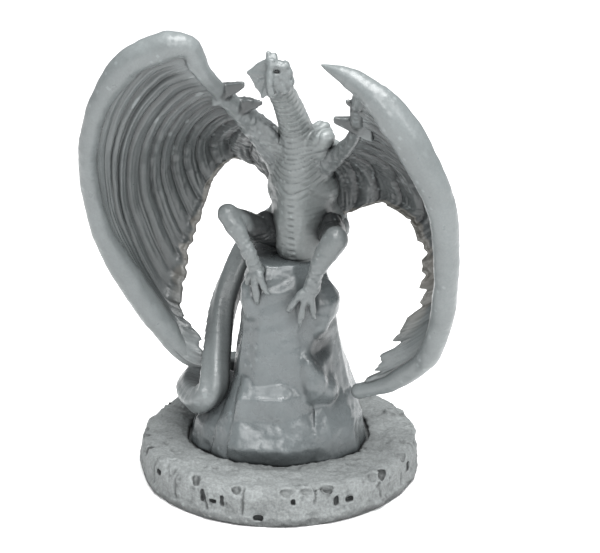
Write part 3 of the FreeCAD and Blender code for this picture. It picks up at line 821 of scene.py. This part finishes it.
# Joints of each leg, its three claw tips, and its radii: hip, thigh, knee, then knee, calf, ankle, ball.
LEGS = {"left": {"hip": (3.8, 3.0, 45.8), "knee": (9.8, -9.8, 48.4), "ankle": (6.6, -10.6, 42.4),
                 "ball": (5.2, -9.4, 38.4),
                 "claws": [(1.2, -10.2, 33.9), (3.2, -9.8, 31.4), (5.6, -8.8, 32.8)],
                 "thigh": (2.9, 2.3, 1.9), "shin": (2.1, 2.0, 1.35, 1.4)},
        "right": {"hip": (-3.0, 0.8, 43.4), "knee": (-9.5, -10.4, 50.6), "ankle": (-5.6, -11.0, 44.5),
                  "ball": (-4.6, -9.9, 40.8),
                  "claws": [(-6.6, -9.3, 36.2), (-4.0, -10.8, 35.0), (-2.0, -11.0, 37.2)],
                  "thigh": (2.6, 2.3, 1.6), "shin": (1.75, 1.55, 1.1, 1.3)}}


HAUNCH = (1.6, 1.8, 1.5)
TOE_RADII = (0.95, 0.7, 0.55)
CLAW_RADII = (0.5, 0.36, 0.16)


def add_toe(clay, ball, claw):
    """A toe that arches up over its knuckle and runs out into a claw."""
    knuckle = (ball * 0.6 + claw * 0.4) + np.array([0, -0.9, 1.0])
    tip_joint = (ball * 0.22 + claw * 0.78) + np.array([0, -0.6, 0.5])
    bend = 0.5 * (tip_joint + claw) + np.array([0, -0.25, 0])
    toe = [(*place, radius) for place, radius in zip((ball, knuckle, tip_joint), TOE_RADII)]
    nail = [(*place, radius) for place, radius in zip((tip_joint, bend, claw), CLAW_RADII)]
    clay.tube(curve(toe, 9), blend=0.25)
    clay.tube(nail, blend=0.1)


def make_leg(side):
    spots = LEGS[side]
    hip, knee, ankle, ball = [np.array(spots[key]) for key in ("hip", "knee", "ankle", "ball")]
    every = np.array([hip, knee, ankle, ball] + [np.array(c) for c in spots["claws"]])
    clay = Clay(every.min(0) - 6, every.max(0) + 6, 0.16)
    thigh = hip * 0.42 + knee * 0.58 - [0, 0, 0.5]
    clay.tube(curve([(*place, radius) for place, radius in zip((hip, thigh, knee), spots["thigh"])], 14))
    clay.ball(hip * 0.62 + knee * 0.38 + [0, 0, 1.6], HAUNCH, blend=0.7)
    calf = knee * 0.6 + ankle * 0.4 + [0, -0.2, 0.2]
    lower = [(*place, radius) for place, radius in zip((knee, calf, ankle, ball), spots["shin"])]
    clay.tube(curve(lower, 16), blend=0.3)
    heel = ankle + (ankle - ball) * 0.1 + np.array([0.5 * np.sign(ankle[0]), 1.2, 0.4])
    clay.tube([(*ankle, 1.1), (*heel, 0.8)], blend=0.6)
    for claw in spots["claws"]:
        add_toe(clay, ball, np.array(claw))
    points, quads = clay.surface()
    points = relaxed(points, quads, 1)
    normals = vertex_normals(points, quads)
    shin = curve([(*knee, 0), (*ankle, 0), (*ball, 0)], 30)[:, :3]
    along, _ = nearest_along(points, shin)
    near_ankle = smoothstep(4.0, 6.0, along) * smoothstep(13.0, 9.0, along)
    wrinkles = near_ankle * 0.05 * np.sin(along * 5.0 + 3 * noise(points, 1.5, 6))
    muscle = 0.18 * rough(points, 2.2, 3, 51)
    points = points + normals * (wrinkles + muscle)[:, None]
    # Painted shade: a little over the whole leg, and much more behind the knee over the thigh.
    shade = 0.16 + 0.8 * smoothstep(-9.6, -7.6, points[:, 1]) * smoothstep(39.0, 42.0, points[:, 2])
    add_piece("look_" + side + "_leg", seated(points), quads, "figure", "figure_plastic", FIGURE,
              hollow=shade)


# ---------------------------------------------------------------- wings

# Both wings are drawn on the dragon's left; the right one is mirrored at the end.
SHOULDER = (4.0, -0.4, 59.4)
FLANK_MIDDLE = (4.0, 1.6, 54.6)
FLANK_FOOT = {"left": (3.6, 3.0, 45.6), "right": (3.6, 3.0, 50.4)}
# The leading edge runs from the wrist to the lower tip, the trailing edge from there to the flank.
LEADING = {"left": [(17.0, -20.8, 81.6), (23.2, -22.3, 79.6), (28.7, -22.0, 73.4), (32.8, -20.0, 63.2),
                    (33.7, -17.8, 54.0), (32.7, -14.8, 43.0), (30.6, -12.2, 34.2), (27.2, -10.2, 27.2),
                    (20.6, -8.6, 21.6), (13.8, -8.0, 18.6)],
           "right": [(16.4, -21.6, 85.0), (23.3, -22.3, 81.4), (28.8, -22.0, 73.6), (32.2, -20.2, 64.6),
                     (33.7, -17.4, 55.6), (33.1, -14.8, 45.4), (30.6, -12.6, 37.4), (26.6, -10.4, 29.2),
                     (20.6, -8.6, 21.4), (14.2, -8.0, 19.2)]}
TRAILING = {"left": [(16.6, -6.6, 26.4), (20.6, -4.6, 32.8), (21.9, -2.2, 41.0), (20.0, 0.6, 48.2),
                     (13.4, 3.2, 50.6), (7.8, 3.8, 48.2)],
            "right": [(16.8, -6.0, 25.2), (21.2, -3.6, 29.6), (20.6, -1.4, 36.8), (18.8, 1.0, 46.2),
                      (15.8, 3.2, 54.0), (11.0, 3.8, 55.6)]}
# The arm's bone from wrist to shoulder, and the horn at the wrist: rows of x, y, z and radius.
ARM = {"left": [(17.4, -18.4, 77.6, 1.6), (15.2, -15.2, 73.8, 1.2), (14.2, -12.0, 69.8, 1.25),
                (11.8, -8.0, 65.4, 1.2), (8.4, -4.2, 61.6, 1.6), (4.2, -1.0, 58.8, 2.8)],
       "right": [(11.6, -18.6, 79.6, 1.6), (10.4, -16.6, 76.4, 1.45), (9.3, -12.0, 72.0, 1.45),
                 (8.3, -8.6, 69.0, 1.8), (6.8, -4.8, 65.2, 2.3), (3.8, -1.4, 60.0, 3.2)]}
HORN = {"left": [(20.6, -19.6, 76.4, 2.1), (17.6, -19.6, 78.6, 1.9), (14.4, -20.0, 80.4, 1.3),
                 (10.6, -19.8, 81.6, 0.3)],
        "right": [(19.4, -20.2, 80.8, 2.3), (14.8, -20.4, 82.6, 2.2), (12.2, -19.4, 82.0, 1.8),
                  (11.4, -18.4, 79.8, 1.5)]}
# Thorns along the arm: foot, tip, half width and half height at the foot.
THORNS = {"left": [((15.2, -11.6, 69.0), (10.2, -12.6, 70.2), 1.3, 1.7),
                   ((16.2, -14.6, 73.2), (13.6, -16.4, 74.8), 1.2, 1.2)],
          "right": [((9.7, -12.6, 72.7), (5.0, -13.6, 75.0), 1.3, 1.7),
                    ((8.3, -8.8, 69.4), (3.2, -10.0, 70.9), 1.3, 1.6)]}
# The broad web between the right arm and the neck, as corners on its middle plane.
WEB = [(8.4, -8.6, 69.6), (2.2, -5.6, 64.8), (1.6, -2.8, 58.4), (4.8, -1.4, 57.4), (7.6, -5.0, 64.6)]
WEB_HALF = 0.7
# How deep the arm's grey is, as a share of the way to the grey of a hollow.
ARM_SHADE = {"left": 0.4, "right": 0.1}
# The finger's radius at shares of its length.
FINGER = {"left": [(0.0, 1.5), (0.06, 2.3), (0.14, 2.9), (0.25, 2.8), (0.4, 2.3), (0.55, 2.1), (0.7, 2.0),
                   (0.85, 1.8), (1.0, 1.4)],
          "right": [(0.0, 2.3), (0.12, 2.4), (0.22, 1.9), (0.4, 1.6), (0.55, 1.8), (0.7, 2.4),
                    (0.85, 2.4), (1.0, 1.5)]}
# From the finger's outline to its middle, in radii, besides the way in: mostly backwards.
AWAY = {"left": np.array([-0.3, 0.84, -0.35]), "right": np.array([0.3, 0.84, -0.35])}
FACE_ON = np.array([0.0, 0.93, -0.37])
WING_MIDDLE = np.array([8.0, 0.0, 52.0])
# How far the membrane's edge lies in front of the finger's middle line and outside it, in radii.
LAP = {"left": (0.15, 0.0), "right": (0.85, 0.55)}
FOLDS = {"left": 12, "right": 17}
RAGGED = {"left": 0.030, "right": 0.012}
# Change of the membrane's painted shade near its lower tip, and where the painted light along its torn edge
# begins.
TIP_SHADE = {"left": -0.8, "right": 0.5}
RIM = {"left": 0.9, "right": 0.95}
SHEET = 0.8
BILLOW = 2.6


def finger_line(side, count):
    """The wing's leading finger, set in from the leading edge: its middle line, the way in, radii."""
    leading = curve(LEADING[side], count)
    radii = np.interp(np.linspace(0, 1, count), *zip(*FINGER[side]))
    along = unit(np.gradient(leading, axis=0))
    inward = unit(np.cross(along, FACE_ON))
    inward *= np.sign((inward * (WING_MIDDLE - leading)).sum(1, keepdims=True))
    return leading + (inward + AWAY[side]) * radii[:, None], inward, radii


def wing_middle(side, a, b):
    """The membrane's middle surface: four edges blended, billowed backwards between them."""
    centres, inward, radii = finger_line(side, b.size)
    forward, outward = LAP[side]
    leading = centres - (AWAY[side] * forward + inward * outward) * radii[:, None]
    arm = curve([tuple(leading[0])] + [row[:3] for row in ARM[side][1:-1]] + [SHOULDER], a.size)
    trailing = curve([tuple(leading[-1])] + TRAILING[side] + [FLANK_FOOT[side]], a.size)
    flank = curve([SHOULDER, FLANK_MIDDLE, FLANK_FOOT[side]], b.size)
    arm, trailing, leading, flank = arm[:, None], trailing[:, None], leading[None], flank[None]
    a, b = a[:, None, None], b[None, :, None]
    corners = ((leading[:, :1] * (1 - a) + flank[:, :1] * a) * (1 - b)
               + (leading[:, -1:] * (1 - a) + flank[:, -1:] * a) * b)
    billow = BILLOW * 16 * a * (1 - a) * b * (1 - b)
    return leading * (1 - a) + flank * a + arm * (1 - b) + trailing * b - corners + billow * [0, 1, 0]


def torn(middle, a, b, side, seed):
    """The surface with its lanes cut short by uneven amounts, for a ragged trailing edge."""
    probe = np.stack([a * 60, 0 * a, 0 * a], axis=1)
    loss = RAGGED[side] * (0.5 + noise(probe, 3.0, seed) + 0.9 * noise(probe, 1.1, seed + 1)).clip(0)
    loss *= smoothstep(0.0, 0.1, a) * smoothstep(1.0, 0.9, a)
    place = b[None, :] * (1 - loss[:, None]) * (b.size - 1)
    low = np.minimum(place.astype(int), b.size - 2)
    part = (place - low)[..., None]
    lane = np.arange(a.size)[:, None]
    return middle[lane, low] * (1 - part) + middle[lane, low + 1] * part


def lane_noise(a, b, across_scale, along_scale, seed):
    """Noise over the membrane, stretched along its lanes."""
    across, along = np.meshgrid(a * across_scale, b * along_scale, indexing="ij")
    probe = np.stack([across.ravel(), along.ravel(), 0 * across.ravel()], axis=1)
    return noise(probe, 1.0, seed).reshape(across.shape)


def wing_sheet(side):
    """The membrane: a closed sheet folded lengthwise, with a knotted, ragged trailing edge."""
    seed = {"left": 60, "right": 90}[side]
    a, b = np.linspace(0, 1, 250), np.linspace(0, 1, 104)
    middle = torn(wing_middle(side, a, b), a, b, side, seed)
    normal = unit(np.cross(np.gradient(middle, axis=1), np.gradient(middle, axis=0)))
    normal *= -np.sign(normal[..., 1].mean())
    across, along = a[:, None], b[None, :]
    phase = FOLDS[side] * across ** 0.85 + 0.5 * lane_noise(a, b, 3.0, 1.6, seed + 2)
    ridge = np.abs(np.sin(math.pi * phase)) ** 0.6
    height = (0.62 + 0.38 * lane_noise(a, b, 16.0, 1.6, seed + 5)) * (1 - 0.35 * smoothstep(0.4, 1.0, across))
    strength = smoothstep(0.0, 0.10, along) * smoothstep(0.0, 0.16, across)
    strength = strength * (1 - 0.3 * smoothstep(0.6, 1.0, along)) * smoothstep(1.0, 0.93, across)
    strength = strength * (1 - 0.85 * smoothstep(0.50, 0.85, along) * smoothstep(0.45, 0.15, across))
    strands = lane_noise(a, b, 150.0, 5.0, seed + 3) + 0.7 * lane_noise(a, b, 70.0, 3.0, seed + 7)
    creases = lane_noise(a, b, 30.0, 26.0, seed + 6)
    lift = strength * (height * (ridge - 0.62) + 0.10 * creases) + (0.3 + 0.7 * strength) * 0.13 * strands
    lip = smoothstep(0.95, 0.985, along)
    knots = lane_noise(a, b, 80.0, 8.0, seed + 4)
    half = 0.5 * SHEET * (1 + lip * (0.35 + 0.8 * knots))
    half = half * np.sqrt(np.clip(1 - ((along - 0.985) / 0.015).clip(0, 1) ** 2, 0.06, 1))
    front = middle + normal * (lift + half)[..., None]
    back = middle + normal * (0.75 * lift - half)[..., None]
    # Painted shade over the membrane, deeper towards the flank and in the folds between its ridges.
    inside = smoothstep(0.02, 0.2, across) * smoothstep(0.0, 0.06, along)
    near_tip = smoothstep(0.6, 0.9, along) * smoothstep(0.4, 0.1, across)
    inside = inside * (1 + TIP_SHADE[side] * near_tip) + 0.16 * smoothstep(0.4, 0.1, along) * inside
    hollow = inside * (0.36 + 0.28 * across) + strength * ((1 - ridge) ** 2 * 0.7 - 0.12 * strands)
    hollow = np.clip(hollow, 0, 1)
    count = a.size * b.size
    index = np.arange(count).reshape(a.size, b.size)
    border = np.concatenate([index[:-1, 0], index[-1, :-1], index[:0:-1, -1], index[0, :0:-1]])
    after = np.roll(border, -1)
    quads = [grid_quads(a.size, b.size), grid_quads(a.size, b.size, flip=True, first=count),
             np.stack([border, border + count, after + count, after], axis=1)]
    # Painted light along the torn trailing edge, kept off the part near the lower tip.
    rim = RIM[side] - 0.03 * lane_noise(a, b, 40.0, 2.0, seed + 8)
    edge = (smoothstep(rim, rim + 0.03, along) * smoothstep(0.15, 0.45, across)).ravel()
    marks = {"hollow": np.tile(hollow.ravel(), 2), "edge": np.tile(edge, 2)}
    return np.vstack([front.reshape(-1, 3), back.reshape(-1, 3)]), np.vstack(quads), marks


def thorn(foot, tip, half_width, half_height):
    """Corners of a blunt wedge with a flat top."""
    foot, tip = np.array(foot), np.array(tip)
    root = foot - 0.3 * (tip - foot)
    corners = []
    for centre, size in ((root, 1.0), (foot, 1.0), (tip, 0.3)):
        for lean in (-1, 1):
            corners.append(centre + [0, lean * half_width * size, half_height * size])
            corners.append(centre + [0, lean * half_width * size * 0.6, -half_height * size])
    return corners


def wing_bones(side):
    """The finger, arm, horn and thorns as one lump."""
    centres, _, radii = finger_line(side, 60)
    clay = Clay((0.5, -26.5, 15.5), (36.5, 4.5, 88.5), 0.23)
    clay.tube(np.column_stack([centres, radii]))
    clay.tube(curve(HORN[side], 14), blend=0.7)
    clay.tube(curve(ARM[side], 30), blend=0.9)
    if side == "right":
        web = [(x, y + thick, z) for x, y, z in WEB for thick in (-WEB_HALF, WEB_HALF)]
        clay.chunk(web, soften=0.8, blend=1.2)
    for spot in THORNS[side]:
        clay.chunk(thorn(*spot), soften=0.15, blend=0.25)
    points, quads = clay.surface()
    points = relaxed(points, quads, 2)
    normals = vertex_normals(points, quads)
    sinew = smoothstep(-14.0, -8.0, points[:, 1]) * smoothstep(13.0, 8.0, points[:, 0])
    strands = noise(points * [1.6, 0.6, 1.0], 0.9, 73) + noise(points * [2.6, 0.6, 1.2], 0.8, 75)
    depth = 0.13 * rough(points, 3.2, 3, 71) + 0.12 * sinew * strands
    points = points + normals * depth[:, None]
    arm, offset = nearest_along(points, np.array(ARM[side])[:, :3])
    # Painted shade over the arm away from the wrist, and over the thorns.
    dark = ARM_SHADE[side] * smoothstep(2.0, 5.0, arm)
    dark = dark * smoothstep(2.6, 1.6, np.linalg.norm(offset, axis=1))
    for foot, tip, _, reach in THORNS[side]:
        along, offset = nearest_along(points, np.array([foot, tip]))
        thorny = smoothstep(reach + 0.3, reach - 0.2, np.linalg.norm(offset, axis=1))
        dark = np.maximum(dark, 0.75 * thorny * smoothstep(0.2, 1.0, along))
    return points, quads, {"hollow": dark, "edge": 0 * dark}


def make_wing(side):
    sheet, bones = wing_sheet(side), wing_bones(side)
    points, quads = joined([sheet[:2], bones[:2]])
    marks = {key: np.concatenate([sheet[2][key], bones[2][key]]) for key in sheet[2]}
    if side == "right":
        points = points * [-1, 1, 1]
        quads = quads[:, ::-1]
    add_piece("look_" + side + "_wing", seated(points), quads, "figure", "figure_plastic", FIGURE, **marks)


# ---------------------------------------------------------------- assembly

def rock_outline(gap):
    """The rock's foot as a rounded outline, larger by the gap."""
    corners = np.array([corner for outlines in LOBES for height, ring in outlines if height == ROCK_FOOT
                        for corner in ring])
    return corners * (1 + gap / 15.0)


make_base(rock_outline(SEAT_GAP))
make_rock()
make_tail()
make_trunk()
make_head()
for side in ("left", "right"):
    make_leg(side)
    make_wing(side)


# ---------------------------------------------------------------- stage, light and camera

FLOOR = 3.0                          # half the floor's side, in metres
CAMERA_TARGET = (3.75, 0.0, 36.6)    # in millimetres
CAMERA_DISTANCE = 0.420
CAMERA_ELEVATION = math.radians(21.5)


def add_floor():
    paper = Paint("floor_paper")
    paper.set(Base_Color=grey(0.86), Roughness=0.9)
    mesh = bpy.data.meshes.new("floor")
    corners = [(-FLOOR, -FLOOR, 0), (FLOOR, -FLOOR, 0), (FLOOR, FLOOR, 0), (-FLOOR, FLOOR, 0)]
    mesh.from_pydata(corners, [], [(0, 1, 2, 3)])
    mesh.materials.append(paper.material)
    floor = bpy.data.objects.new("floor", mesh)
    bpy.context.scene.collection.objects.link(floor)


def add_light(name, place, target, size, power):
    lamp = bpy.data.lights.new(name, "AREA")
    lamp.shape = "RECTANGLE"
    lamp.size, lamp.size_y = size
    lamp.energy = power
    light = bpy.data.objects.new(name, lamp)
    light.location = Vector(place)
    light.rotation_euler = (Vector(target) - Vector(place)).to_track_quat("-Z", "Y").to_euler()
    bpy.context.scene.collection.objects.link(light)


def add_world(brightness):
    world = bpy.data.worlds.new("studio")
    world.use_nodes = True
    background = world.node_tree.nodes["Background"]
    background.inputs["Color"].default_value = (0.93, 0.97, 1.0, 1)
    background.inputs["Strength"].default_value = brightness
    bpy.context.scene.world = world


def add_camera():
    target = Vector(CAMERA_TARGET) * MM
    back = Vector((0, -math.cos(CAMERA_ELEVATION), math.sin(CAMERA_ELEVATION)))
    data = bpy.data.cameras.new("camera")
    data.sensor_width = 36.0
    data.lens = 144.1
    data.clip_start, data.clip_end = 0.01, 20.0
    camera = bpy.data.objects.new("camera", data)
    camera.location = target + CAMERA_DISTANCE * back
    camera.rotation_euler = (target - camera.location).to_track_quat("-Z", "Y").to_euler()
    bpy.context.scene.collection.objects.link(camera)
    bpy.context.scene.camera = camera


add_floor()
add_world(0.30)
add_light("overhead_softbox", (0.05, -0.10, 0.55), (0, 0, 0.03), (0.5, 0.4), 8.6)
add_light("front_softbox", (-0.08, -0.60, 0.36), (0, 0, 0.03), (0.30, 0.24), 2.6)
add_light("front_right_softbox", (0.42, -0.45, 0.38), (0, 0, 0.04), (0.25, 0.25), 1.8)
add_camera()
bpy.context.scene.view_settings.view_transform = "Standard"
